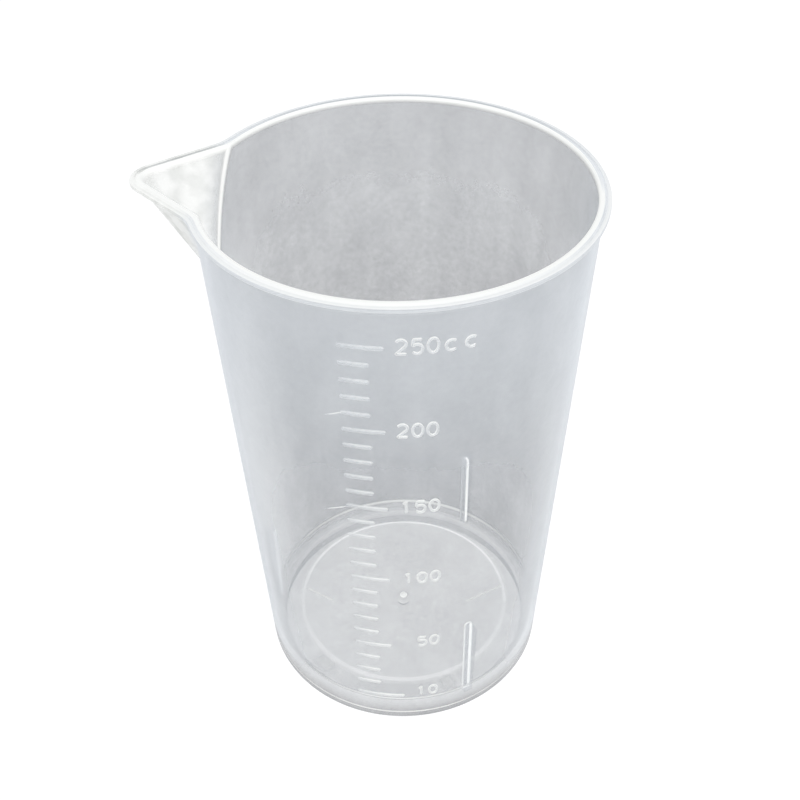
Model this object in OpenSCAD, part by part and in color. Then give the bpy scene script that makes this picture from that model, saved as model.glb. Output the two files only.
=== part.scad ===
// Resin mixing cup, 250 cc: one thin tapered moulding with a V-shaped pouring spout,
// a stepped rim bead, a foot ring under a raised floor, three ribs inside that keep
// stacked cups from jamming, and raised graduation lines.
// The origin is the centre of the foot on the standing plane, +Z is up,
// the spout points to -X and the graduations face -Y.

/* [Cup] */
// Height from the standing plane to the top of the rim
cup_h = 104.5; // [100:0.5:112]
// Outside diameter of the wall, carried down to the standing plane
base_d = 56.4; // [54:0.2:60]
// Outside diameter of the wall at the top of the rim
mouth_d = 65.6; // [64:0.2:70]
// Thickness of the wall
wall = 1.1; // [0.9:0.05:1.4]
// Rounding of the wall's inner top edge
lip_round = 0.35; // [0.1:0.05:0.5]

/* [Rim bead] */
// How far the bead stands out from the wall
bead_w = 0.9; // [0.6:0.1:1.4]
// Height of the bead
bead_h = 0.8; // [0.6:0.1:1.6]
// How far the top of the bead lies below the top of the wall
bead_drop = 0.15; // [0.05:0.05:0.4]

/* [Floor and foot] */
// Height of the middle of the floor above the standing plane
floor_z = 4.2; // [3.4:0.1:6]
// Thickness of the floor
floor_t = 1.3; // [1:0.1:1.8]
// Fillet between the floor and the wall
floor_fillet = 1.8; // [1:0.1:2.4]
// Diameter of the raised middle of the floor
panel_d = 43.8; // [36:0.2:46]
// Height of that middle over the gutter round it
panel_rise = 0.35; // [0.2:0.05:0.6]
// Width of the foot ring where it stands
foot_w = 2.5; // [2:0.1:3]
// Rounding of the foot's outer edge
foot_edge = 1.2; // [0.6:0.1:1.6]
// Diameter of the gate stub under the floor
gate_d = 2.6; // [1.6:0.1:4]
// Length of the gate stub
gate_h = 0.8; // [0.4:0.1:1.2]

/* [Pouring spout] */
// Distance from the cup's axis to the tip of the spout, over the bead
spout_reach = 43.6; // [41:0.2:48]
// Width of the spout across the two corners where it leaves the wall at the rim
spout_w = 24.4; // [20:0.2:30]
// Inside radius of the tip
spout_tip_r = 3; // [2:0.2:4]
// How far down the wall the spout's keel starts
spout_depth = 18.5; // [14:0.5:24]
// Inside radius of the keel where it meets the wall
spout_keel_r = 0.4; // [0.3:0.1:1]

/* [Stacking ribs] */
// Number of ribs
rib_count = 3; // [3:1:4]
// Width of a rib
rib_w = 1.7; // [1.2:0.1:2.4]
// Depth of the ledge at the top of a rib
rib_ledge = 2; // [1.4:0.1:2.6]
// Height of the top of a rib above the standing plane
rib_top = 24; // [16:0.5:32]
// Angle from the spout's middle line to the nearest rib
rib_turn = 3.6; // [0:0.2:12]

/* [Graduations] */
// Capacity at the top line in cubic centimetres
full_cc = 250; // [100:10:250]
// Step between lines in cubic centimetres
step_cc = 10; // [10:5:25]
// Every line at a multiple of this many cubic centimetres is long
long_cc = 50; // [50:50:100]
// Height of a line
line_h = 0.6; // [0.4:0.1:1]
// How far a line stands out from the wall
line_proud = 0.3; // [0.15:0.05:0.5]
// Distance from the middle plane of the scale to the left end of every line
line_left = 9.15; // [8:0.05:11]
// Distance from that plane to the right end of a long line
line_right_long = 2.3; // [1:0.1:4]
// Distance from that plane to the right end of a short line
line_right_short = 4.5; // [4.2:0.1:6]
// Angle from the front to the middle plane of the scale
scale_turn = 6; // [-10:1:15]

/* [Hidden] */
$fn = 96;
over = 1;
facets = 32;
arc_steps = 8;

base_r = base_d / 2;
mouth_r = mouth_d / 2;
taper = (mouth_r - base_r) / cup_h;
draft = atan(taper);
panel_r = panel_d / 2;
foot_inner_r = base_r - foot_w;
foot_relief = 0.2;
riser_run = 0.15;

gutter_z = floor_z - panel_rise;
gutter_under_z = gutter_z - floor_t;
panel_under_z = floor_z - floor_t;
fillet_top_z = gutter_z + floor_fillet * (1 - sin(draft));

spout_c = spout_reach - bead_w - wall - spout_tip_r;
spout_corner = [sqrt(mouth_r * mouth_r - spout_w * spout_w / 4), spout_w / 2];
corner_to_tip = [spout_c, 0] - spout_corner;
spout_half_angle = atan2(spout_corner[1], corner_to_tip[0])
    - asin((spout_tip_r + wall) / norm(corner_to_tip));
keel_z = cup_h - spout_depth;
keel_c = base_r + taper * keel_z - wall - spout_keel_r;

rib_face_r = base_r + taper * rib_top - wall - rib_ledge;
bead_under_z = cup_h - bead_drop - bead_h;
milky = [0.9, 0.92, 0.93, 0.55];
milky_edge = [0.97, 0.98, 0.98, 0.85];

// Radius of the outside and of the inside of the wall at height z
function outer_r(z) = base_r + taper * z;
function inner_r(z) = outer_r(z) - wall;

// Points along an arc
function arc(c, r, a0, a1) =
    [for (i = [0:arc_steps])
        let (a = a0 + (a1 - a0) * i / arc_steps)
        c + r * [cos(a), sin(a)]];

// Centre of an arc of radius r that touches a level plane at z from above
// and the inside of the slanted line of radius line_r at z + r
function tangent_centre(line_r, z, r) = [line_r - r / cos(draft), z + r];

// The top face of the floor from the wall to the axis, in radius and height
function floor_line() = concat(
    arc(tangent_centre(inner_r(gutter_z + floor_fillet), gutter_z, floor_fillet),
        floor_fillet, -draft, -90),
    [[panel_r + riser_run, gutter_z], [panel_r, floor_z], [0, floor_z]]);

// Volume that the ribs take up below height z
function rib_volume(z) =
    rib_count * rib_w * (min(z, rib_top) - gutter_z)
    * ((inner_r(gutter_z) + inner_r(min(z, rib_top))) / 2 - rib_face_r);

// Volume that the fillet takes away, less what the gutter adds
function floor_volume() =
    (1 - PI / 4) * floor_fillet * floor_fillet * 2 * PI * (inner_r(gutter_z) - floor_fillet / 4)
    - PI * (pow(inner_r(gutter_z), 2) - pow(panel_r, 2)) * panel_rise;

// Height at which the plain tapered bore above floor_z holds v cubic millimetres
function bore_height(v) =
    (pow(pow(inner_r(floor_z), 3) + 3 * taper * v / PI, 1 / 3) - inner_r(0)) / taper;

// Height of the true level for cc cubic centimetres
function level(cc) =
    let (v = cc * 1000 + floor_volume())
    bore_height(v + rib_volume(bore_height(v)));

// Solid inside the outside of the wall
module cup_solid() {
    cylinder(h = cup_h + over, r1 = base_r, r2 = outer_r(cup_h + over));
}

// Space inside the cup
module cavity() {
    rotate_extrude()
        polygon(concat(
            [[0, cup_h + over], [inner_r(cup_h + over), cup_h + over]],
            floor_line()));
}

// Place and inside radius of the spout's round tip at height z, straight down to the keel's end
function tip_x(z) = keel_c + (spout_c - keel_c) * (z - keel_z) / spout_depth;
function tip_r(z) = spout_keel_r + (spout_tip_r - spout_keel_r) * (z - keel_z) / spout_depth;

// Plan of the spout: two straight sides tangent to a round tip of radius r at x
module spout_plan(x, r) {
    touch = [x + r * sin(spout_half_angle), r * cos(spout_half_angle)];
    back = touch + x * [-cos(spout_half_angle), sin(spout_half_angle)];
    translate([x, 0]) circle(r);
    polygon([touch, back, [back[0], -back[1]], [touch[0], -touch[1]]]);
}

// The spout as a solid that runs past the rim and past the keel; skin 0 gives its inside
module spout_solid(skin) {
    high = cup_h + over;
    low = keel_z - over;
    rotate(180) hull() {
        translate([0, 0, high])
            linear_extrude(over) spout_plan(tip_x(high), tip_r(high) + skin, $fn = facets);
        translate([tip_x(low), 0, low - over])
            cylinder(h = over, r = tip_r(low) + skin, $fn = facets);
    }
}

module cup_wall() {
    color(milky) difference() {
        rotate_extrude()
            polygon(concat(
                [[inner_r(fillet_top_z), fillet_top_z],
                    [outer_r(fillet_top_z), fillet_top_z],
                    [outer_r(cup_h), cup_h]],
                arc([inner_r(cup_h - lip_round) + lip_round, cup_h - lip_round],
                    lip_round, 90, 180)));
        spout_solid(0);
    }
}

module rim_bead() {
    color(milky_edge) difference() {
        translate([0, 0, bead_under_z])
            linear_extrude(bead_h) {
                circle(mouth_r + bead_w);
                rotate(180) spout_plan(spout_c, spout_tip_r + wall + bead_w);
            }
        cup_solid();
        spout_solid(wall);
    }
}

module pouring_spout() {
    color(milky_edge) difference() {
        intersection() {
            spout_solid(wall);
            cylinder(h = cup_h, r = spout_reach);
        }
        spout_solid(0);
        cup_solid();
    }
}

module base_floor() {
    color(milky) rotate_extrude()
        polygon(concat(
            [[0, panel_under_z], [panel_r - riser_run, panel_under_z],
                [panel_r, gutter_under_z],
                [outer_r(gutter_under_z), gutter_under_z],
                [outer_r(fillet_top_z), fillet_top_z]],
            floor_line()));
}

module foot_ring() {
    color(milky_edge) rotate_extrude()
        polygon(concat(
            [[foot_inner_r, 0]],
            arc(tangent_centre(outer_r(foot_edge), 0, foot_edge), foot_edge, -90, -draft),
            [[outer_r(gutter_under_z), gutter_under_z],
                [foot_inner_r - foot_relief, gutter_under_z]]));
}

module gate_stub() {
    color(milky_edge) translate([0, 0, panel_under_z - gate_h])
        cylinder(h = gate_h, r1 = gate_d / 2 - foot_relief, r2 = gate_d / 2);
}

// One rib: an upright fin with a round top, lying along +X
module rib_blank() {
    translate([rib_face_r, 0, 0]) rotate([90, 0, 90])
        linear_extrude(mouth_r - rib_face_r) {
            translate([-rib_w / 2, 0]) square([rib_w, rib_top - rib_w / 2]);
            translate([0, rib_top - rib_w / 2]) circle(rib_w / 2);
        }
}

module stacking_ribs() {
    color(milky_edge)
        for (i = [0:rib_count - 1])
            intersection() {
                rotate(180 + rib_turn + i * 360 / rib_count) rib_blank();
                cavity();
            }
}

// One raised line at height z, from left to right of the scale's middle plane
module graduation(z, right) {
    start = asin(-line_left / outer_r(z));
    sweep = asin(-right / outer_r(z)) - start;
    rotate(start + scale_turn - 90)
        rotate_extrude(angle = sweep)
            polygon([
                [outer_r(z - line_h / 2), z - line_h / 2],
                [outer_r(z) + line_proud, z - line_h / 4],
                [outer_r(z) + line_proud, z + line_h / 4],
                [outer_r(z + line_h / 2), z + line_h / 2]]);
}

// The lines that fit under the bead, each at its true level
module graduation_lines() {
    color(milky_edge)
        for (cc = [step_cc:step_cc:full_cc])
            if (level(cc) + line_h < bead_under_z)
                graduation(level(cc),
                    cc == step_cc ? 0 : cc % long_cc == 0 ? line_right_long : line_right_short);
}

cup_wall();
rim_bead();
pouring_spout();
base_floor();
foot_ring();
gate_stub();
stacking_ribs();
graduation_lines();
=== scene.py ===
"""Looks of a 250 cc mixing cup in natural, milky polypropylene.

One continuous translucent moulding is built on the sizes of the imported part: tapered wall, V-shaped spout,
stepped rim, floor with a raised middle, and foot. Raised graduations, numerals and ribs sit on it.
Lengths are metres in the part's frame: +Z up, the spout towards -X, the graduations towards -Y.
"""

import math

import bpy
import numpy as np
from mathutils import Matrix, Vector


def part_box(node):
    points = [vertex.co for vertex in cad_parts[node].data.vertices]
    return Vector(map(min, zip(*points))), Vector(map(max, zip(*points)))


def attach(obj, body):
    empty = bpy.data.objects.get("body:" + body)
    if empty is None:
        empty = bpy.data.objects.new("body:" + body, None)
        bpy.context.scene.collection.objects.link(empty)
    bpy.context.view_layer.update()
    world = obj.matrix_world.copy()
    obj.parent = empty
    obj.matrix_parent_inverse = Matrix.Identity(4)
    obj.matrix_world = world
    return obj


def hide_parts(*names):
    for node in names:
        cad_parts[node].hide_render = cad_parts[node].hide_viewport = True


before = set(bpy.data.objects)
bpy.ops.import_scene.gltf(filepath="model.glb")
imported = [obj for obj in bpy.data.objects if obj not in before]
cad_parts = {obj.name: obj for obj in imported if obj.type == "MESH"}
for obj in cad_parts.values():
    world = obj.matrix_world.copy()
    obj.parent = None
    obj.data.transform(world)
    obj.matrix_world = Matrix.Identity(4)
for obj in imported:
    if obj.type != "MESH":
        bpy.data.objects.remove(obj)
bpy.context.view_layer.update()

MM = 0.001
BODY = "root"

# Sizes that the frame gives
WALL_LOW, WALL_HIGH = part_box("cup_wall")
BEAD_LOW, BEAD_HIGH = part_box("rim_bead")
FLOOR_LOW, FLOOR_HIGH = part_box("base_floor")
GATE_LOW, GATE_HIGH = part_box("gate_stub")
CUP_H = WALL_HIGH.z
MOUTH_R = WALL_HIGH.y
FILLET_TOP = WALL_LOW.z
TAPER = (MOUTH_R - FLOOR_HIGH.y) / (CUP_H - FILLET_TOP)
BASE_R = MOUTH_R - TAPER * CUP_H
BEAD_W = BEAD_HIGH.y - MOUTH_R
BEAD_TOP, BEAD_UNDER = BEAD_HIGH.z, BEAD_LOW.z
GUTTER_UNDER = FLOOR_LOW.z
PANEL_UNDER = GATE_HIGH.z
GATE_R, GATE_END = GATE_HIGH.x, GATE_LOW.z

# Sizes of the moulding that a box doesn't give
WALL = 1.1 * MM
LIP_ROUND = 0.35 * MM
BEAD_ROUND = 0.22 * MM
FLOOR_Z = 4.2 * MM
FLOOR_T = FLOOR_Z - PANEL_UNDER
GUTTER_Z = GUTTER_UNDER + FLOOR_T
PANEL_R = 21.9 * MM
FILLET = 1.8 * MM
FOOT_W = 2.5 * MM
FOOT_IN = BASE_R - FOOT_W
FOOT_EDGE = 1.2 * MM
SPOUT_AT = math.pi
SPOUT_TIP_R = 3.0 * MM
SPOUT_W = 24.4 * MM
SPOUT_DEPTH = 18.5 * MM
KEEL_R = 0.4 * MM
SPOUT_C = -BEAD_LOW.x - BEAD_W - WALL - SPOUT_TIP_R
KEEL_Z = CUP_H - SPOUT_DEPTH
INNER_BLEND = 0.25 * MM
OUTER_BLEND = 0.9 * MM
CREASE_W = 1.5 * INNER_BLEND
SPOUT_FADE = 2.2 * MM
CORNER_MIN = math.radians(1.0)
CORNER_STEPS = 600


def outer_r(z):
    """Radius of the wall's outside at height z."""
    return BASE_R + TAPER * z


def inner_r(z):
    """Radius of the wall's inside at height z."""
    return outer_r(z) - WALL


KEEL_C = inner_r(KEEL_Z) - KEEL_R
CORNER_X = math.sqrt(MOUTH_R**2 - SPOUT_W**2 / 4)
CORNER_TO_TIP = math.hypot(SPOUT_C - CORNER_X, SPOUT_W / 2)
SPOUT_HALF = math.atan2(SPOUT_W / 2, SPOUT_C - CORNER_X) - math.asin((SPOUT_TIP_R + WALL) / CORNER_TO_TIP)
# Angles at which the spout's flat sides end, and beyond that end, where their line's angle is held
SIDES_END = math.pi / 2 - SPOUT_HALF
PAST_SIDES = 1.2


def spout_r(phi, z, skin):
    """Distance from the axis to the spout's outline at angle phi from its middle line, 0 past its sides."""
    share = (z - KEEL_Z) / SPOUT_DEPTH
    tip = KEEL_C + (SPOUT_C - KEEL_C) * share
    r = KEEL_R + (SPOUT_TIP_R - KEEL_R) * share + skin
    touch = math.atan2(r * math.cos(SPOUT_HALF), tip + r * math.sin(SPOUT_HALF))
    side = (tip * math.sin(SPOUT_HALF) + r) / np.sin(SPOUT_HALF + np.minimum(phi, PAST_SIDES))
    round_tip = tip * np.cos(phi) + np.sqrt(np.maximum(r**2 - (tip * np.sin(phi)) ** 2, 0))
    return np.where(phi < touch, round_tip, np.where(phi < SIDES_END, side, 0))


def corner(z, skin):
    """Angle from the spout's middle line to the corner where its side leaves the wall."""
    if z <= KEEL_Z:
        return CORNER_MIN
    phi = np.linspace(0, SIDES_END - 0.01, CORNER_STEPS)
    beyond = spout_r(phi, z, skin) > inner_r(z) + skin
    return max(CORNER_MIN, phi[beyond][-1] if beyond.any() else 0)


def plan(theta, z, skin, blend):
    """Radius of the cup's outline, spout included, at height z and a depth skin outside the inner face.

    It also returns how near each point is to the corner where the spout leaves the wall, and how far it is on
    the spout, both from 0 to 1.
    """
    circle = np.full_like(theta, inner_r(z) + skin)
    if z <= KEEL_Z:
        return circle, np.zeros_like(theta), np.zeros_like(theta)
    phi = np.abs((theta - SPOUT_AT + math.pi) % (2 * math.pi) - math.pi)
    wedge = spout_r(phi, z, skin)
    gap = np.maximum(blend - np.abs(wedge - circle), 0) / blend
    crease = np.exp(-(((wedge - circle) / CREASE_W) ** 2))
    on_spout = np.clip((wedge - circle) / SPOUT_FADE, 0, 1) ** 0.7
    return np.maximum(circle, wedge) + gap**2 * blend / 4, crease, on_spout


class Skin:
    """The points and faces of one piece.

    Each point has shares that its material reads: how white it is, a painted highlight that is painted shade
    below 0, how glassy it is, and whether it is on an inner face, which has painted shade, on the spout, or
    on the floor.
    """

    def __init__(self):
        self.verts, self.faces = [], []
        self.shares = {"white": [], "glass": [], "inner": [], "spout": [], "floor": []}

    def add(self, points, **shares):
        """Adds points with their shares, 0 where none is given, and returns the first one's number."""
        first = len(self.verts)
        points = np.asarray(points, float).reshape(-1, 3)
        self.verts.extend(map(tuple, points))
        for key, values in self.shares.items():
            values.extend(np.broadcast_to(shares.get(key, 0.0), len(points)))
        return first

    def bridge(self, a, b, n):
        """Quads between two closed rows of n points that start at a and b."""
        for j in range(n):
            k = (j + 1) % n
            self.faces.append((a + j, a + k, b + k, b + j))

    def fan(self, row, n, tip, flip=False):
        """Triangles from a closed row of n points to one point."""
        for j in range(n):
            k = (j + 1) % n
            self.faces.append((row + k, row + j, tip) if flip else (row + j, row + k, tip))

    def cap(self, first_row, last_row, n):
        """One face over each end of a run of bridged rows."""
        self.faces.append(tuple(range(first_row + n - 1, first_row - 1, -1)))
        self.faces.append(tuple(range(last_row, last_row + n)))

    def build(self, name, material):
        """The finished piece, riding on its body."""
        mesh = bpy.data.meshes.new(name)
        mesh.from_pydata(self.verts, [], self.faces)
        for key, values in self.shares.items():
            share = mesh.attributes.new(key, "FLOAT", "POINT")
            share.data.foreach_set("value", np.asarray(values, np.float32))
        mesh.materials.append(material)
        mesh.update()
        mesh.shade_smooth()
        piece = bpy.data.objects.new(name, mesh)
        bpy.context.scene.collection.objects.link(piece)
        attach(piece, BODY)
        return piece


def arc(cr, cz, r, a0, a1, steps):
    """Points of an arc in radius and height, angles in degrees."""
    angles = [math.radians(a0 + (a1 - a0) * i / steps) for i in range(steps + 1)]
    return [(cr + r * math.cos(a), cz + r * math.sin(a)) for a in angles]


# The moulding's section runs from the middle of the floor up the inside, over the rim, down the outside and
# under the floor. A row of it is (skin, height, height of the plan outline, blend, shares of its look).


def at(r, z, **look):
    """A row of the section at radius r and height z."""
    return r - inner_r(z), z, z, INNER_BLEND, look


def outside(skin, z, white, plan_z=CUP_H, **look):
    """A row of the section at a depth skin outside the inner face, with the plan outline of height plan_z."""
    return skin, z, plan_z, OUTER_BLEND, {"white": white, **look}


# The floor's top has the inner faces' painted shade
FLOOR_LOOK = {"inner": 1.0, "floor": 1.0}
# A whiteness below 0 paints shade, the grey of a groove
GUTTER_PAINTED_SHADE = -0.12
# Gate mark in the middle of the floor: radius and lift in millimetres, whiteness, a painted highlight on the
# dot and painted shade in the ring round it
GATE_MARK = ((0.4, 0.22, 1), (0.75, 0.12, 1), (0.9, -0.06, 0.3), (1.05, -0.14, -0.1),
             (1.5, -0.1, -0.04), (1.8, -0.05, 0), (2.0, -0.02, 0), (2.2, 0, 0))
PANEL_FLAT_TO = PANEL_R / MM - 0.8
PANEL_STEPS = 8
# Step down to the gutter: millimetres past the raised middle's edge, share of the fall, glassiness
PANEL_EDGE = ((-0.55, 0, 0.2), (-0.4, 0, 1), (-0.05, 0.05, 1), (0.07, 0.5, 1), (0.16, 0.9, 0.7),
              (0.35, 1, 0.1))
GUTTER_AT = (1.0 * MM, 2.6 * MM)
# Fillet from the gutter up into the wall: whiteness, which is painted shade below 0 and a painted highlight
# at the top, and share of the gutter's look, which is painted light
FILLET_LOOK = ((GUTTER_PAINTED_SHADE, 0.6), (GUTTER_PAINTED_SHADE, 1), (GUTTER_PAINTED_SHADE, 1), (-0.1, 1), (-0.06, 1),
               (0, 0.6), (0.1, 0), (0.8, 0), (1, 0))


def floor_rows():
    """Gate mark, raised middle, gutter and fillet of the floor's top."""
    rows = [at(r * MM, FLOOR_Z + lift * MM, white=white, **FLOOR_LOOK) for r, lift, white in GATE_MARK]
    flat_from = GATE_MARK[-1][0]
    for i in range(1, PANEL_STEPS + 1):
        r = flat_from + (PANEL_FLAT_TO - flat_from) * i / PANEL_STEPS
        rows.append(at(r * MM, FLOOR_Z, **FLOOR_LOOK))
    fall = FLOOR_Z - GUTTER_Z
    for out, share, glass in PANEL_EDGE:
        rows.append(at(PANEL_R + out * MM, FLOOR_Z - fall * share, glass=glass, step=1, **FLOOR_LOOK))
    for out in GUTTER_AT:
        rows.append(at(PANEL_R + out, GUTTER_Z, white=GUTTER_PAINTED_SHADE, gutter=1, **FLOOR_LOOK))
    steps = len(FILLET_LOOK) - 1
    fillet = arc(inner_r(GUTTER_Z + FILLET) - FILLET, GUTTER_Z + FILLET, FILLET, -90, -3, steps)
    for i, ((r, z), (white, gutter)) in enumerate(zip(fillet, FILLET_LOOK)):
        rows.append(at(r, z, white=white, inner=1.0, floor=1 - i / steps, gutter=gutter))
    return rows


def inner_wall_rows():
    """Inside of the wall from the fillet to the rounded lip, whose white is a painted highlight."""
    start, lip = GUTTER_Z + FILLET + 0.3 * MM, CUP_H - 0.8 * MM
    rows = [at(inner_r(start), start, white=0.3, inner=1.0)]
    below_spout = np.linspace(start + 0.5 * MM, KEEL_Z, 20)
    beside_spout = np.linspace(KEEL_Z + MM, CUP_H - 1.1 * MM, 18)
    for z in np.concatenate([below_spout, beside_spout]):
        rows.append(at(inner_r(z), z, inner=1.0))
    rows.append(at(inner_r(lip), lip, white=0.6, inner=1.0))
    for skin, z in arc(LIP_ROUND, CUP_H - LIP_ROUND, LIP_ROUND, 180, 90, 4):
        inner = float(z < CUP_H - 0.99 * LIP_ROUND)
        rows.append((skin, z, z, INNER_BLEND, {"white": 1.0, "inner": inner}))
    return rows


# Flat top and the groove beside the bead: depth outside the inner face, drop in millimetres, whiteness, a
# painted highlight, and shares of the groove's look, painted light and shade, and of the far side's painted
# shade
RIM_TOP = ((0.5 * MM, 0, 1, 0, 1.6), (WALL - 0.25 * MM, 0, 0.95, 0, 1.7), (WALL - 0.12 * MM, 0.03, 0, 1, 0),
           (WALL, 0.14, 0, 1, 0), (WALL + 0.2 * MM, 0.2, 0, 1, 0), (WALL + 0.32 * MM, 0.17, 0.5, 0.2, 0))
# Upper edge of the bead from above: whiteness, a painted highlight, and share of the far side's painted shade
BEAD_UPPER = ((0.75, 0.4), (0.75, 0.4), (0.5, 0), (0.25, 0), (0.2, 0))
# Lower edge of the bead from its face: whiteness, a painted highlight
BEAD_LOWER = (0.2, 0.5, 0.6, 0.4, 0.2)
# Painted highlight over the whole bead, and its share of the inner faces' painted shade
BEAD_WHITE = 0.2
BEAD_SHADE = 0.1


def rim_rows():
    """Flat top of the wall, the groove in it, and the bead."""
    rows = [outside(skin, CUP_H - drop * MM, white, groove=groove, far=far)
            for skin, drop, white, groove, far in RIM_TOP]
    out = WALL + BEAD_W - BEAD_ROUND
    upper = arc(out, BEAD_TOP - BEAD_ROUND, BEAD_ROUND, 90, 0, len(BEAD_UPPER) - 1)
    for (skin, z), (white, far) in zip(upper, BEAD_UPPER):
        rows.append(outside(skin, z, white, inner=BEAD_SHADE, far=far))
    rows.append(outside(out + BEAD_ROUND, BEAD_TOP - 1.6 * BEAD_ROUND, BEAD_WHITE, inner=BEAD_SHADE))
    lower = arc(out, BEAD_UNDER + BEAD_ROUND, BEAD_ROUND, 0, -90, len(BEAD_LOWER) - 1)
    for (skin, z), white in zip(lower, BEAD_LOWER):
        rows.append(outside(skin, z, white, inner=BEAD_SHADE))
    rows.append(outside(WALL + 0.25 * MM, BEAD_UNDER, BEAD_WHITE, BEAD_UNDER))
    rows.append(outside(WALL + 0.06 * MM, BEAD_UNDER - 0.08 * MM, BEAD_WHITE, BEAD_UNDER))
    return rows


# Painted shade over the front of the foot: where it stops and how far it fades in
FOOT_SHADE_TOP = 6.4 * MM
FOOT_SHADE_FADE = 2 * MM
# Outside of the foot from above: height in millimetres, whiteness, a painted highlight line, and share of the
# groove's look, painted shade
FOOT_LINE = ((2.8, 0, 0), (2.6, 0.9, 0), (2.35, 0.9, 0), (2.15, 0, 0.3), (1.8, 0, 0.5),
             (FOOT_EDGE / MM + 0.2, 0, 0.6))
# Rounded edge of the foot from above: share of the groove's look, painted shade
FOOT_ROUND = (0.6, 0.7, 0.8, 0.9, 1, 1, 0.6, 0, 0)


def outer_wall_rows():
    """Outside of the wall from the bead down, and the foot to the ground. Its front near the foot has painted
    shade.
    """
    beside_spout = np.linspace(BEAD_UNDER - 0.3 * MM, KEEL_Z - MM, 22)
    below_spout = np.linspace(KEEL_Z - 3 * MM, 3 * MM, 28)
    rows = []
    for z in np.concatenate([beside_spout, below_spout]):
        white = BEAD_WHITE if z > BEAD_UNDER - 0.4 * MM else 0.0
        foot_shade = min(1, max(0, (FOOT_SHADE_TOP - z) / FOOT_SHADE_FADE))
        rows.append(outside(WALL, z, white, z, foot=foot_shade))
    for z, white, groove in FOOT_LINE:
        rows.append(at(outer_r(z * MM), z * MM, foot=1, white=white, groove=groove))
    edge = arc(outer_r(FOOT_EDGE) - FOOT_EDGE, FOOT_EDGE, FOOT_EDGE, 0, -90, len(FOOT_ROUND) - 1)
    for (r, z), groove in zip(edge, FOOT_ROUND):
        rows.append(at(r, z, foot=1, groove=groove))
    return rows


# Inside of the foot from the ground up: radius and height
FOOT_INSIDE = ((FOOT_IN + 0.3 * MM, 0), (FOOT_IN + 0.08 * MM, 0.08 * MM), (FOOT_IN, 0.3 * MM),
               (FOOT_IN - 0.08 * MM, GUTTER_UNDER - 0.5 * MM), (FOOT_IN - 0.2 * MM, GUTTER_UNDER - 0.15 * MM))
# Underside of the gutter and the step up to the middle: radius, height, glassiness
GUTTER_BELOW = ((FOOT_IN - 0.5 * MM, GUTTER_UNDER, 0.4), (PANEL_R + 0.4 * MM, GUTTER_UNDER, 0.3),
                (PANEL_R + 0.15 * MM, GUTTER_UNDER + 0.05 * MM, 1),
                (PANEL_R - 0.15 * MM, PANEL_UNDER - 0.05 * MM, 1), (PANEL_R - 0.4 * MM, PANEL_UNDER, 0.3))
PANEL_STEPS_BELOW = 7
# Cut-off gate under the middle: radius and height
GATE_STUB = ((GATE_R, PANEL_UNDER - 0.12 * MM), (GATE_R - 0.08 * MM, GATE_END + 0.2 * MM),
             (GATE_R - 0.3 * MM, GATE_END + 0.02 * MM), (0.5 * MM, GATE_END + 0.05 * MM))


def underside_rows():
    """Inside of the foot, underside of the floor, and the gate stub."""
    # The inside of the foot has the foot's painted shade in front
    rows = [at(r, z, foot=1) for r, z in FOOT_INSIDE]
    rows += [at(r, z, glass=glass) for r, z, glass in GUTTER_BELOW]
    flat_to = GATE_R + 0.3 * MM
    for i in range(1, PANEL_STEPS_BELOW + 1):
        rows.append(at(PANEL_R + (flat_to - PANEL_R) * i / PANEL_STEPS_BELOW, PANEL_UNDER))
    rows += [at(r, z, glass=1.0) for r, z in GATE_STUB]
    return rows


# Angles beside the spout's corner in degrees, and how far round from the spout's middle the columns are close
NEAR_CORNER = (0, 0.15, 0.35, 0.6, 0.95, 1.4)
SPOUT_REACH = math.radians(34)


def columns(corner_at):
    """Angles round the cup, close together across the spout and closest beside its corner."""
    near = np.radians(NEAR_CORNER)
    inside = corner_at - near[::-1] * min(1, corner_at / (2 * near[-1]))
    across = np.linspace(0, inside[0], 25)[:-1]
    beyond = np.linspace(corner_at + near[-1], SPOUT_REACH, 15)[1:]
    half = np.concatenate([across, inside, corner_at + near[1:], beyond])
    rest = np.linspace(SPOUT_REACH, 2 * math.pi - SPOUT_REACH, 200)[1:-1]
    return SPOUT_AT + np.concatenate([half, rest, -half[:0:-1]])


# Soft gleams in the gutter: angle round the cup and half width in degrees, and strength
GLEAMS = ((-127, 7, 0.5), (-63, 4, 0.55))


def gleams(theta):
    """How much whiter the gutter is at each angle round the cup."""
    turned = (np.degrees(theta) + 180) % 360 - 180
    return sum(strength * np.exp(-(((turned - angle) / width) ** 2)) for angle, width, strength in GLEAMS)


# How the painted light and shade change round the cup, from the front at -Y to the back
SPOUT_AWAY, SPOUT_TURN = 0.9, 20
# How much painted shade the foot has in front and how fast it falls away to the back
FOOT_SHADE_FRONT, FOOT_SHADE_FALL = 1.2, 1.3
SIDES_LEAST = 0.3
NEAR_STEP_LOSS = 0.55
FOOT_GROOVE_SHADE = 0.16
GUTTER_BACK_LIGHT = 0.24
RIM_GROOVE_FRONT, RIM_GROOVE_FALL = 0.9, 1.6
# Strength of the painted highlight along the crease where the spout leaves the wall, inside and outside
CREASE_INSIDE, CREASE_OUTSIDE = 1.4, 0.35


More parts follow.
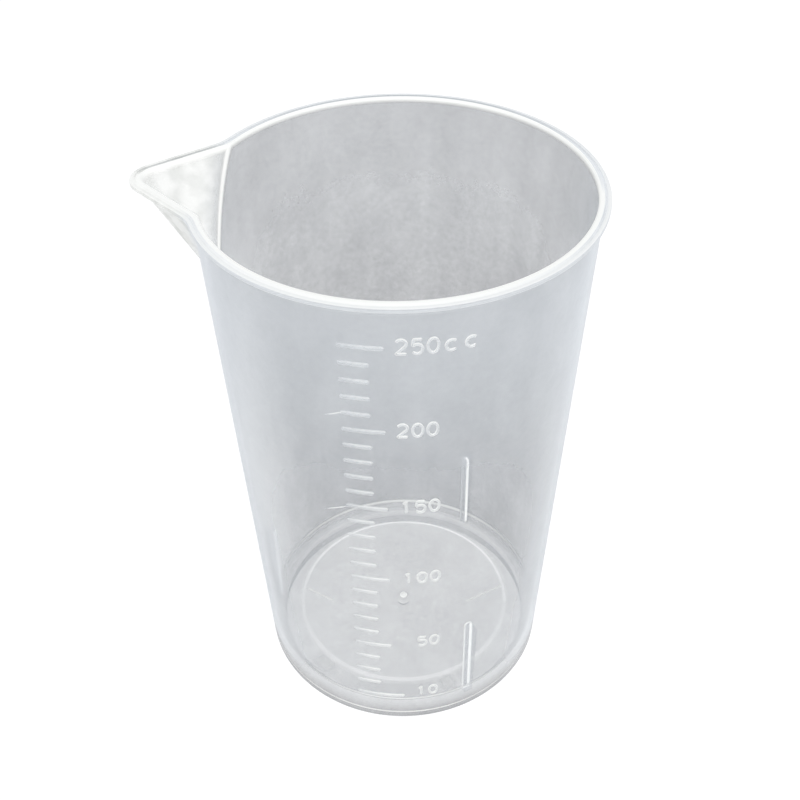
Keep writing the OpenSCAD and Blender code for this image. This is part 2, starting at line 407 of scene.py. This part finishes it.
def look_round(theta, look, crease, on_spout, low):
    """A row's shares round the cup.

    Painted highlights on the lines of the floor and foot (low) are faint at the sides, and the gutter has
    more at the back. The foot's painted shade is in front, the rim's groove has a painted highlight in front
    and painted shade at the back, the rim's top has painted shade at the back, and a crease has a painted
    highlight.
    """
    inner = look.get("inner", 0.0)
    white, glass, floor = look.get("white", 0.0), look.get("glass", 0.0), look.get("floor", 0.0)
    groove = look.get("groove", 0.0)
    away = np.sin(theta) * (1 - on_spout) + SPOUT_AWAY * np.tanh(SPOUT_TURN * np.sin(theta)) * on_spout
    towards_back = 0.5 + 0.5 * away
    foot_shade = look.get("foot", 0.0) * np.clip(FOOT_SHADE_FRONT - FOOT_SHADE_FALL * towards_back, 0, 1)
    inner, floor = np.maximum(inner, foot_shade), np.maximum(floor, foot_shade)
    if low:
        sides = SIDES_LEAST + (1 - SIDES_LEAST) * np.abs(np.sin(theta)) ** 1.5
        near = np.where(np.sin(theta) < 0, 1 - NEAR_STEP_LOSS * look.get("step", 0.0), 1)
        white, glass = white * sides, glass * sides * near
        white = white - FOOT_GROOVE_SHADE * groove * (1 - towards_back)
        white = white + look.get("gutter", 0.0) * (GUTTER_BACK_LIGHT * towards_back + gleams(theta))
    else:
        white = white + groove * (RIM_GROOVE_FRONT - RIM_GROOVE_FALL * towards_back)
        white = white - look.get("far", 0.0) * np.sqrt(np.maximum(away, 0))
    crease_highlight = np.minimum(1, crease * (CREASE_INSIDE if look.get("inner") == 1 else CREASE_OUTSIDE))
    white = np.where(white >= 0, np.maximum(white, crease_highlight), white)
    return {"white": white, "glass": glass, "inner": inner, "floor": floor, "spout": on_spout}


def cup_moulding(material):
    """Wall, spout, rim, floor and foot as one closed skin."""
    skin = Skin()
    section = floor_rows() + inner_wall_rows() + rim_rows() + outer_wall_rows() + underside_rows()
    top = skin.add([(0, 0, FLOOR_Z + 0.24 * MM)], white=1.0, **FLOOR_LOOK)
    previous = None
    for depth, z, plan_z, blend, look in section:
        theta = columns(corner(plan_z, depth))
        n = len(theta)
        r, crease, on_spout = plan(theta, plan_z, depth, blend)
        ring = np.stack([r * np.cos(theta), r * np.sin(theta), np.full(n, z)], 1)
        low = PANEL_R / 2 < r.max() and z < FLOOR_Z + FILLET
        row = skin.add(ring, **look_round(theta, look, crease, on_spout, low))
        if previous is None:
            skin.fan(row, n, top)
        else:
            skin.bridge(row, previous, n)
        previous = row
    under = skin.add([(0, 0, GATE_END + 0.06 * MM)], glass=1.0)
    skin.fan(previous, n, under, flip=True)
    piece = skin.build("cup_moulding", material)
    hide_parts("cup_wall", "rim_bead", "pouring_spout", "base_floor", "foot_ring", "gate_stub")
    return piece


# Section of a raised line: across and up in shares of its half width and height, and its whiteness, a painted
# highlight on its edges
RIDGE = ((-1.0, -0.3, 0.9), (-0.98, 0.15, 1.0), (-0.8, 0.75, 0.9), (-0.5, 1.0, 0.0),
         (0.5, 1.0, 0.0), (0.8, 0.75, 0.9), (0.98, 0.15, 1.0), (1.0, -0.3, 0.9))
# Square of the share of its width and height that a line keeps at its very ends
END_LEAST = 0.02


def ridge(skin, path, width, proud, place, closed=False, strength=None, core=0.0):
    """A raised line along path, whose flat points place() puts on the surface with its normal.

    Its edges are white, which on the graduations and figures is a painted highlight, and its crown is as
    white as core. An open line has round ends. strength gives how white it is at a share of its length.
    """
    path = np.asarray(path, float)
    n = len(path)
    lengths = np.concatenate([[0], np.cumsum(np.linalg.norm(np.diff(path, axis=0), axis=1))])
    total = lengths[-1]
    rows = []
    for i in range(n):
        before = path[(i - 1) % n if closed else max(i - 1, 0)]
        after = path[(i + 1) % n if closed else min(i + 1, n - 1)]
        along = (after - before) / np.linalg.norm(after - before)
        side = np.array([along[1], -along[0]])
        end = 1.0
        if not closed:
            near = min(lengths[i], total - lengths[i]) / (width / 2)
            end = math.sqrt(max(1 - (1 - min(near, 1)) ** 2, END_LEAST))
        seen = 1.0 if strength is None else strength(lengths[i] / total)
        points, edges = [], []
        for across, up, edge in RIDGE:
            base, normal = place(path[i] + side * across * end * width / 2)
            points.append(base + normal * (up * proud * (end if up > 0 else 1)))
            edges.append(max(edge, 1 - end, core) * seen)
        rows.append(skin.add(points, white=edges))
    for i in range(n if closed else n - 1):
        skin.bridge(rows[i], rows[(i + 1) % n], len(RIDGE))
    if not closed:
        skin.cap(rows[0], rows[-1], len(RIDGE))


def on_wall(centre):
    """Puts a flat point (along the wall, height) on the cup's outside, round from the angle centre."""

    def place(p):
        r = outer_r(p[1])
        a = centre + p[0] / r
        normal = np.array([math.cos(a), math.sin(a), -TAPER])
        return np.array([r * math.cos(a), r * math.sin(a), p[1]]), normal

    return place


def on_floor(p):
    """Puts a flat point on the top of the floor's raised middle."""
    return np.array([p[0], p[1], FLOOR_Z]), np.array([0.0, 0.0, 1.0])


def straight(start, end, steps):
    """Points of a straight line between two flat points in millimetres."""
    start, end = np.array(start), np.array(end)
    return [(start + (end - start) * i / steps) * MM for i in range(steps + 1)]


# Fine straight marks on the floor: from and to, in millimetres
FLOOR_MARKS = (((-20.9, 0.0), (-15.0, -2.8)), ((13.5, -0.6), (21.1, 4.5)))
MARK_W, MARK_PROUD, MARK_WHITE = 0.4 * MM, 0.1 * MM, 0.9


def floor_marks(material):
    """The fine marks on the floor."""
    skin = Skin()
    for start, end in FLOOR_MARKS:
        ridge(skin, straight(start, end, 30), MARK_W, MARK_PROUD, on_floor, core=MARK_WHITE)
    return skin.build("floor_marks", material)


# Fine scratches outside: angle round the cup in degrees and height, then both ends' offsets, in millimetres
SCRATCHES = ((-102.0, 83.0, (-2.1, -1.0), (2.1, 0.9)), (-104.0, 61.5, (-3.0, -1.6), (2.6, 1.2)))
SCRATCH_W, SCRATCH_PROUD, SCRATCH_WHITE = 0.22 * MM, 0.03 * MM, 0.8


def fade_out(share):
    """Strength of a scratch at a share of its length: none at both ends."""
    return math.sin(math.pi * min(1, max(0, share)))


def scratches(material):
    """The fine scratches on the outside."""
    skin = Skin()
    for angle, height, start, end in SCRATCHES:
        ends = np.array([start, end]) + (0, height)
        ridge(skin, straight(*ends, 24), SCRATCH_W, SCRATCH_PROUD, on_wall(math.radians(angle)),
              strength=fade_out, core=SCRATCH_WHITE)
    return skin.build("scratches", material)


def clusters(values, gap):
    """Index groups of values that lie closer together than gap."""
    order = np.argsort(values)
    cuts = np.nonzero(np.diff(values[order]) > gap)[0] + 1
    return np.split(order, cuts)


def node_points(name):
    """Points of a CAD node's mesh."""
    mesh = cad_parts[name].data
    return np.array([v.co for v in mesh.vertices], float)


LINE_PROUD = 0.28 * MM
LINE_W = 0.75 * MM
LINE_STEPS = 40
LINE_FADE_UP = 0.4
LINE_LEAST, LINE_RISE = 0.65, 1.6


def line_strength(z):
    """How strong a graduation's painted highlight at height z is along its length: less up the cup and at its
    left end.
    """
    fade = 1 - LINE_FADE_UP * z / CUP_H
    return lambda share: fade * (LINE_LEAST + (1 - LINE_LEAST) * min(1, LINE_RISE * share))


def graduation_ridges(material):
    """The raised lines, each at the height and between the angles that the frame gives."""
    skin = Skin()
    points = node_points("graduation_lines")
    for group in clusters(points[:, 2], LINE_W):
        p = points[group]
        angle = np.arctan2(p[:, 1], p[:, 0])
        z = (p[:, 2].min() + p[:, 2].max()) / 2
        middle = (angle.min() + angle.max()) / 2
        half = (angle.max() - angle.min()) / 2 * outer_r(z)
        path = [(x, z) for x in np.linspace(-half, half, LINE_STEPS)]
        ridge(skin, path, LINE_W, LINE_PROUD, on_wall(middle), strength=line_strength(z))
    piece = skin.build("graduation_ridges", material)
    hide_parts("graduation_lines")
    return piece


def bow(cx, cy, rx, ry, a0, a1):
    """Points of an elliptic arc of a figure, angles in degrees."""
    steps = max(6, int(abs(a1 - a0) / 12))
    angles = [math.radians(a0 + (a1 - a0) * i / steps) for i in range(steps + 1)]
    return [(cx + rx * math.cos(a), cy + ry * math.sin(a)) for a in angles]


# Strokes of the figures in a box that is 1 high, centred on 0 across
FIGURES = {
    "0": [("closed", bow(0, 0.5, 0.3, 0.5, 90, 450)[:-1])],
    "1": [("open", [(-0.2, 0.78), (0.0, 1.0), (0.0, 0.5), (0.0, 0.0)])],
    "2": [("open", bow(0, 0.71, 0.29, 0.29, 160, -35) + [(-0.28, 0.0), (0.32, 0.0)])],
    "5": [("open", [(0.28, 1.0), (-0.2, 1.0), (-0.25, 0.56)] + bow(0, 0.33, 0.3, 0.33, 130, -145))],
    "c": [("open", bow(0, 0.36, 0.33, 0.36, 45, 315))],
}
FIGURE_H = 2.6 * MM
FIGURE_HALF = 0.33
FIGURE_STROKE = 0.46 * MM
FIGURE_PROUD = 0.25 * MM
FIGURE_STEP = 2.3 * MM
STEP_ALONG = 0.12 * MM


def resample(path, step, closed=False):
    """The same path with points about a step apart."""
    path = np.asarray(path, float)
    if closed:
        path = np.vstack([path, path[:1]])
    lengths = np.concatenate([[0], np.cumsum(np.linalg.norm(np.diff(path, axis=0), axis=1))])
    n = max(3, int(lengths[-1] / step))
    places = np.linspace(0, lengths[-1], n + 1)
    if closed:
        places = places[:-1]
    return np.stack([np.interp(places, lengths, path[:, k]) for k in (0, 1)], 1)


# Each number: figures, angle of its left edge from the front in degrees, height of its foot in millimetres
NUMBERS = (("250", 4.7, 95.7), ("200", 4.8, 79.2), ("150", 5.6, 61.9), ("100", 6.2, 43.6), ("50", 10.8, 24.8),
           ("10", 10.7, 8.4))
UNIT = ("c", "c")
UNIT_GAP = 0.4 * MM
UNIT_STEP = 3.0 * MM


def numerals(material):
    """The raised numbers beside the long lines, and the unit after the top one."""
    skin = Skin()
    for text, left, foot in NUMBERS:
        z = foot * MM
        r = outer_r(z)
        start = math.radians(left - 90) + FIGURE_H * FIGURE_HALF / r
        marks = [(c, i * FIGURE_STEP) for i, c in enumerate(text)]
        if text == NUMBERS[0][0]:
            marks += [(c, len(text) * FIGURE_STEP + UNIT_GAP + i * UNIT_STEP) for i, c in enumerate(UNIT)]
        for figure, along in marks:
            for kind, stroke in FIGURES[figure]:
                closed = kind == "closed"
                flat = [(x * FIGURE_H, z + y * FIGURE_H) for x, y in stroke]
                ridge(skin, resample(flat, STEP_ALONG, closed), FIGURE_STROKE, FIGURE_PROUD,
                      on_wall(start + along / r), closed)
    return skin.build("numerals", material)


RIB_ROUND = 0.3 * MM
RIB_SUNK = 0.3 * MM
RIB_INTO_WALL = 0.2 * MM
# Rows of a rib from its face to the wall: depth and inset in shares of its edge's round, and whiteness, a
# painted highlight.
# The last one is inside the wall.
RIB_ROWS = ((0, 1.9, 0.1), (0, 1, 0.95), (0.12, 0.4, 1), (0.5, 0.08, 1), (1, 0, 0.7), (1.5, 0, 0.1),
            (2.2, 0, 0), (None, 0, 0))
# How white the painted highlight is on the edges of the ribs at the sides, and on the right edge of a rib at
# the back
SIDE_RIB_WHITE = 0.5
FAR_EDGE_WHITE = 0.3


def rib(skin, points):
    """One stacking rib: an upright fin with a round top and rounded edges, from the floor to the wall."""
    angle = math.atan2(points[:, 1].mean(), points[:, 0].mean())
    radial = np.array([math.cos(angle), math.sin(angle)])
    across = np.array([-math.sin(angle), math.cos(angle)])
    half = np.abs(points[:, :2] @ across).max()
    face = (points[:, :2] @ radial).min()
    low, high = GUTTER_Z - RIB_SUNK, points[:, 2].max()
    plain = SIDE_RIB_WHITE if abs(math.cos(angle)) > 0.9 else 1

    def outline(inset):
        """Across and up: upright sides and a round top."""
        w = half - inset
        turns = np.linspace(0, math.pi, 17)
        round_top = [(w * math.cos(a), high - half + w * math.sin(a)) for a in turns]
        upright = np.linspace(low, high - half, 12)[:-1]
        return [(w, z) for z in upright] + round_top + [(-w, z) for z in upright[::-1]]

    rows = []
    for depth, inset, edge in RIB_ROWS:
        placed, shade = [], []
        for u, z in outline(inset * RIB_ROUND):
            if depth is None:
                r = math.sqrt((inner_r(z) + RIB_INTO_WALL) ** 2 - u * u)
            else:
                r = face + depth * RIB_ROUND
            placed.append((*(radial * r + across * u), z))
            # The list named shade holds the edges' painted highlight
            shade.append(edge * (FAR_EDGE_WHITE if angle > 0 and u > 0 else plain))
        rows.append(skin.add(placed, white=shade))
    for a, b in zip(rows, rows[1:]):
        skin.bridge(a, b, len(placed))
    skin.cap(rows[0], rows[-1], len(placed))


def stacking_fins(material):
    """The three ribs, each where the frame has it."""
    skin = Skin()
    points = node_points("stacking_ribs")
    turned = np.arctan2(points[:, 1], points[:, 0]) % (2 * math.pi)
    for group in clusters(turned, math.radians(30)):
        rib(skin, points[group])
    piece = skin.build("stacking_fins", material)
    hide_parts("stacking_ribs")
    return piece


def node(tree, kind, **values):
    """A shader node with its properties, and its inputs by name, or i and a number. An input may be another
    node's output."""
    made = tree.nodes.new(kind)
    for name, value in values.items():
        if hasattr(made, name):
            setattr(made, name, value)
            continue
        numbered = name[0] == "i" and name[1:].isdigit()
        socket = made.inputs[int(name[1:]) if numbered else name.replace("_", " ")]
        if isinstance(value, bpy.types.NodeSocket):
            tree.links.new(value, socket)
        else:
            socket.default_value = value
    return made


def attribute(tree, name):
    """One of the shares that the skin's points have."""
    return node(tree, "ShaderNodeAttribute", attribute_name=name).outputs["Fac"]


def maths(tree, operation, a, b=0.0, clamp=False):
    """The result of one sum of two values."""
    return node(tree, "ShaderNodeMath", operation=operation, i0=a, i1=b, use_clamp=clamp).outputs[0]


def remap(tree, value, **ends):
    """A value taken from one range to another, both 0 to 1 where no ends are given, and kept inside it."""
    return node(tree, "ShaderNodeMapRange", Value=value, **ends).outputs["Result"]


def noise(tree, place, scale, detail, roughness=0.5):
    """Noise about 0.5, with scale patches a metre."""
    made = node(tree, "ShaderNodeTexNoise", Vector=place, Scale=scale, Detail=detail, Roughness=roughness)
    return made.outputs["Fac"]


def mix_colour(tree, share, a, b):
    """Colour a, mixed with a share of b."""
    made = node(tree, "ShaderNodeMix", data_type="RGBA")
    for socket, value in (("Factor_Float", share), ("A_Color", a), ("B_Color", b)):
        found = next(s for s in made.inputs if s.identifier == socket)
        if isinstance(value, bpy.types.NodeSocket):
            tree.links.new(value, found)
        else:
            found.default_value = value
    return next(s for s in made.outputs if s.identifier == "Result_Color")


OUTER_FILM = (0.66, 0.685, 0.71, 1)
OUTER_CLOUD = (0.76, 0.785, 0.81, 1)
# Dark grey of the inner faces: painted shade
INNER_PAINTED_SHADE = (0.1, 0.105, 0.115, 1)
# White of the edges: painted highlight
EDGE_HIGHLIGHT = (0.95, 0.94, 0.9, 1)
SPOUT_WHITE = (0.87, 0.86, 0.82, 1)
SPOUT_SHADE = (0.66, 0.66, 0.62, 1)
# Grey and alpha of the grooves: painted shade in the recesses
GROOVE_PAINTED_SHADE = (0.3, 0.32, 0.33, 1)
GROOVE_SHADE_ALPHA = 0.8
LIGHT_THROUGH = 0.85
CLEAR_BELOW, HAZY_ABOVE = 46 * MM, 98 * MM
BACK_FROM, BACK_TO = -0.3 * MOUTH_R, 0.6 * MOUTH_R
# Painted shade inside low at the back, and less of the inner faces' painted shade in front
LOW_BACK_SHADE = 0.14
FRONT_LESS_SHADE = 0.15
FLOW_SCALE = (260, 260, 14)
CLOUD_SHARE, GRAIN_SHARE, FLOW_SHARE = 0.5, 0.3, 0.2
IOR = 1.49
BUMP_DEPTH = 0.03 * MM


def mottling(tree, place):
    """Unevenness of moulded plastic, about 0.5: soft clouds, fine grain and upright flow marks."""
    clouds = noise(tree, place, scale=90, detail=3, roughness=0.6)
    grain = noise(tree, place, scale=900, detail=2, roughness=0.7)
    stretched = node(tree, "ShaderNodeVectorMath", operation="MULTIPLY", i0=place, i1=FLOW_SCALE)
    flow = noise(tree, stretched.outputs["Vector"], scale=1, detail=2)
    mottle = maths(tree, "ADD", maths(tree, "MULTIPLY", clouds, CLOUD_SHARE),
                   maths(tree, "MULTIPLY", grain, GRAIN_SHARE))
    return maths(tree, "ADD", mottle, maths(tree, "MULTIPLY", flow, FLOW_SHARE))


def film_colour(tree, place, mottle, shares):
    """Cloudy milky white outside, dark grey inside as painted shade, patches on the spout, white edges as a
    painted highlight and grey grooves as painted shade.
    """
    cloudy = remap(tree, mottle, From_Min=0.35, From_Max=0.65)
    film = mix_colour(tree, shares["inner"], mix_colour(tree, cloudy, OUTER_FILM, OUTER_CLOUD), INNER_PAINTED_SHADE)
    patches = remap(tree, noise(tree, place, scale=260, detail=2), From_Min=0.4, From_Max=0.56)
    film = mix_colour(tree, shares["spout"], film, mix_colour(tree, patches, SPOUT_SHADE, SPOUT_WHITE))
    film = mix_colour(tree, shares["white"], film, EDGE_HIGHLIGHT)
    return mix_colour(tree, shares["groove"], film, GROOVE_PAINTED_SHADE)


def haze(tree, place, mottle, shares, outer, inner, floor_alpha, front_light_haze):
    """How dense the film is. It is uneven on the inner faces only; the outer ones' colour is cloudy. Inside
    it is denser at the back, most of all low down, as painted shade, and thinner in front as painted light;
    outside it is denser in front as painted light.
    """
    along = node(tree, "ShaderNodeSeparateXYZ", Vector=place).outputs
    rise = remap(tree, along["Z"], From_Min=CLEAR_BELOW, From_Max=HAZY_ABOVE, interpolation_type="SMOOTHSTEP")
    back = remap(tree, along["Y"], From_Min=BACK_FROM, From_Max=BACK_TO, interpolation_type="SMOOTHSTEP")
    front = maths(tree, "SUBTRACT", 1.0, back)
    front_lit_haze_top = maths(tree, "ADD", maths(tree, "MULTIPLY", front, front_light_haze), outer[1])
    outside_haze = remap(tree, rise, To_Min=outer[0], To_Max=front_lit_haze_top)
    low_back = maths(tree, "MULTIPLY", back, maths(tree, "SUBTRACT", 1.0, rise))
    densest = maths(tree, "ADD", maths(tree, "MULTIPLY", low_back, LOW_BACK_SHADE), inner[1])
    densest = maths(tree, "SUBTRACT", densest, maths(tree, "MULTIPLY", front, FRONT_LESS_SHADE))
    inside_haze = remap(tree, maths(tree, "MAXIMUM", rise, back), To_Min=inner[0], To_Max=densest)
    dense = remap(tree, shares["inner"], To_Min=outside_haze, To_Max=inside_haze)
    dense = remap(tree, shares["floor"], To_Min=dense, To_Max=floor_alpha)
    uneven = remap(tree, mottle, From_Min=0.3, From_Max=0.7, To_Min=0.8, To_Max=1.2)
    patchy = maths(tree, "MULTIPLY", maths(tree, "SUBTRACT", uneven, 1.0), shares["inner"])
    return maths(tree, "MULTIPLY", dense, maths(tree, "ADD", patchy, 1.0))


def opacity(tree, dense, shares, edge_alpha, grazing_alpha):
    """Alpha of the film, its glassy places, edges, grooves and grazing angles. Most light goes through."""
    facing = node(tree, "ShaderNodeLayerWeight", Blend=0.5).outputs["Facing"]
    outer_face = maths(tree, "SUBTRACT", 1.0, shares["inner"])
    grazing = maths(tree, "MULTIPLY", maths(tree, "POWER", facing, 4.0), outer_face)
    dense = maths(tree, "MULTIPLY", dense, maths(tree, "SUBTRACT", 1.0, shares["glass"]))
    solid = maths(tree, "ADD", dense, maths(tree, "MULTIPLY", shares["white"], edge_alpha))
    solid = maths(tree, "ADD", solid, maths(tree, "MULTIPLY", shares["groove"], GROOVE_SHADE_ALPHA))
    solid = maths(tree, "ADD", solid, maths(tree, "MULTIPLY", grazing, grazing_alpha), clamp=True)
    path = node(tree, "ShaderNodeLightPath").outputs
    lighting = maths(tree, "MAXIMUM", path["Is Shadow Ray"], path["Is Diffuse Ray"])
    let_by = maths(tree, "SUBTRACT", 1.0, maths(tree, "MULTIPLY", lighting, LIGHT_THROUGH))
    return maths(tree, "MULTIPLY", solid, let_by)


def milky_plastic(name, outer, inner, floor_alpha, edge_alpha, grazing_alpha, front_light_haze=0.0, glow=0.0):
    """Hazy see-through polypropylene: denser up the wall, milky outside, grey inside as painted shade, whiter
    at its edges as a painted highlight.

    outer and inner are the haze of those faces at the foot and at the rim, milk is the extra haze outside at
    the front, a painted light on the side that faces the lamp, and glow is a painted glow that white edges
    give off.
    """
    material = bpy.data.materials.new(name)
    material.use_nodes = True
    tree = material.node_tree
    shader = tree.nodes["Principled BSDF"]
    place = node(tree, "ShaderNodeTexCoord").outputs["Object"]
    mottle = mottling(tree, place)
    edge = attribute(tree, "white")
    shares = {key: attribute(tree, key) for key in ("glass", "inner", "spout", "floor")}
    # Whiteness above 0 paints highlights; below 0 it paints the grooves' shade
    shares["white"] = maths(tree, "MAXIMUM", edge, 0.0)
    shares["groove"] = maths(tree, "MAXIMUM", maths(tree, "MULTIPLY", edge, -1.0), 0.0)

    dense = haze(tree, place, mottle, shares, outer, inner, floor_alpha, front_light_haze)
    rough = remap(tree, mottle, To_Min=0.28, To_Max=0.46)
    bump = node(tree, "ShaderNodeBump", Height=mottle, Strength=0.1, Distance=BUMP_DEPTH)
    tree.links.new(film_colour(tree, place, mottle, shares), shader.inputs["Base Color"])
    tree.links.new(opacity(tree, dense, shares, edge_alpha, grazing_alpha), shader.inputs["Alpha"])
    tree.links.new(rough, shader.inputs["Roughness"])
    tree.links.new(bump.outputs["Normal"], shader.inputs["Normal"])
    shader.inputs["IOR"].default_value = IOR
    # Painted glow: white edges give off light of their own, though they are no lamp
    if glow:
        painted_glow = mix_colour(tree, shares["white"], (0, 0, 0, 1), (glow, glow, glow, 1))
        tree.links.new(painted_glow, shader.inputs["Emission Color"])
        shader.inputs["Emission Strength"].default_value = 1.0
    return material


def seen_directly(tree):
    """1 for rays that the camera sees, also through the plastic or off a glossy face, 0 for the others."""
    path = node(tree, "ShaderNodeLightPath").outputs
    seen = maths(tree, "MAXIMUM", path["Is Camera Ray"], path["Is Glossy Ray"])
    return maths(tree, "MAXIMUM", seen, path["Is Transmission Ray"])


FLOOR_HALF = 3.0
FLOOR_UNDER = -0.2 * MM


def stage_floor():
    """A wide white floor that keeps the cup's shadow."""
    material = bpy.data.materials.new("floor_white")
    material.use_nodes = True
    tree = material.node_tree
    tree.nodes.clear()
    white = node(tree, "ShaderNodeBsdfDiffuse", Color=(0.86, 0.86, 0.86, 1)).outputs[0]
    shaded = node(tree, "ShaderNodeBsdfDiffuse", Color=(0.3, 0.3, 0.3, 1)).outputs[0]
    glow = node(tree, "ShaderNodeEmission", Color=(1, 1, 1, 1), Strength=0.76).outputs[0]
    background = node(tree, "ShaderNodeAddShader", i0=shaded, i1=glow).outputs[0]
    shown = node(tree, "ShaderNodeMixShader", i0=seen_directly(tree), i1=white, i2=background).outputs[0]
    node(tree, "ShaderNodeOutputMaterial", Surface=shown)
    mesh = bpy.data.meshes.new("floor")
    corners = [(x * FLOOR_HALF, y * FLOOR_HALF, FLOOR_UNDER) for x, y in ((-1, -1), (1, -1), (1, 1), (-1, 1))]
    mesh.from_pydata(corners, [], [(0, 1, 2, 3)])
    mesh.materials.append(material)
    floor = bpy.data.objects.new("floor", mesh)
    bpy.context.scene.collection.objects.link(floor)


def studio():
    """Even daylight from all round and one broad lamp from the camera's side."""
    world = bpy.data.worlds.new("studio")
    bpy.context.scene.world = world
    world.use_nodes = True
    tree = world.node_tree
    tree.nodes.clear()
    light = node(tree, "ShaderNodeBackground", Color=(0.93, 0.96, 1, 1), Strength=0.85).outputs[0]
    white = node(tree, "ShaderNodeBackground", Color=(1, 1, 1, 1), Strength=1).outputs[0]
    shown = node(tree, "ShaderNodeMixShader", i0=seen_directly(tree), i1=light, i2=white).outputs[0]
    node(tree, "ShaderNodeOutputWorld", Surface=shown)
    lamp = bpy.data.lights.new("key", "SUN")
    lamp.energy = 1.0
    lamp.angle = math.radians(28)
    key = bpy.data.objects.new("key", lamp)
    key.rotation_euler = (math.radians(48), 0, math.radians(14))
    bpy.context.scene.collection.objects.link(key)


# The photograph's view: focal length and side of the picture in pixels, the turn round the cup, the camera's
# angles, and its place before that turn
FOCAL, PICTURE = 1108.7, 800
CAMERA_TURN = math.radians(6)
PITCH, YAW, ROLL = 0.703074, -0.000699, -0.014177
CAMERA_AT = (0, -156.40 * MM, 192.24 * MM)


def camera():
    """The photograph's view, with the cup's spout turned to the left."""
    data = bpy.data.cameras.new("camera")
    data.sensor_width = 36
    data.lens = FOCAL * data.sensor_width / PICTURE
    made = bpy.data.objects.new("camera", data)
    turned = Matrix.Rotation(CAMERA_TURN, 4, "Z")
    aim = (turned @ Matrix.Rotation(math.pi / 2 - PITCH, 4, "X") @ Matrix.Rotation(-YAW, 4, "Y")
           @ Matrix.Rotation(ROLL, 4, "Z"))
    made.matrix_world = Matrix.Translation(turned @ Vector(CAMERA_AT)) @ aim
    bpy.context.scene.collection.objects.link(made)
    bpy.context.scene.camera = made


def main():
    """Builds the six pieces, the floor, the light and the camera."""
    # The wall is painted lighter outside in front, and its inner faces carry painted shade
    wall = milky_plastic("milky_wall", outer=(0.1, 0.33), inner=(0.09, 0.45), floor_alpha=0.34,
                         edge_alpha=0.75, grazing_alpha=1.0, front_light_haze=0.17)
    raised = milky_plastic("milky_raised", outer=(0.03, 0.03), inner=(0.03, 0.03), floor_alpha=0.05,
                           edge_alpha=0.7, grazing_alpha=0)
    # The ribs' white edges carry a painted highlight and a painted glow
    ribs = milky_plastic("milky_ribs", outer=(0.2, 0.2), inner=(0.2, 0.2), floor_alpha=0.05,
                         edge_alpha=0.95, grazing_alpha=0, glow=0.25)
    cup_moulding(wall)
    stacking_fins(ribs)
    graduation_ridges(raised)
    numerals(raised)
    floor_marks(raised)
    scratches(raised)
    stage_floor()
    studio()
    camera()
    bpy.context.scene.view_settings.view_transform = "Standard"


main()
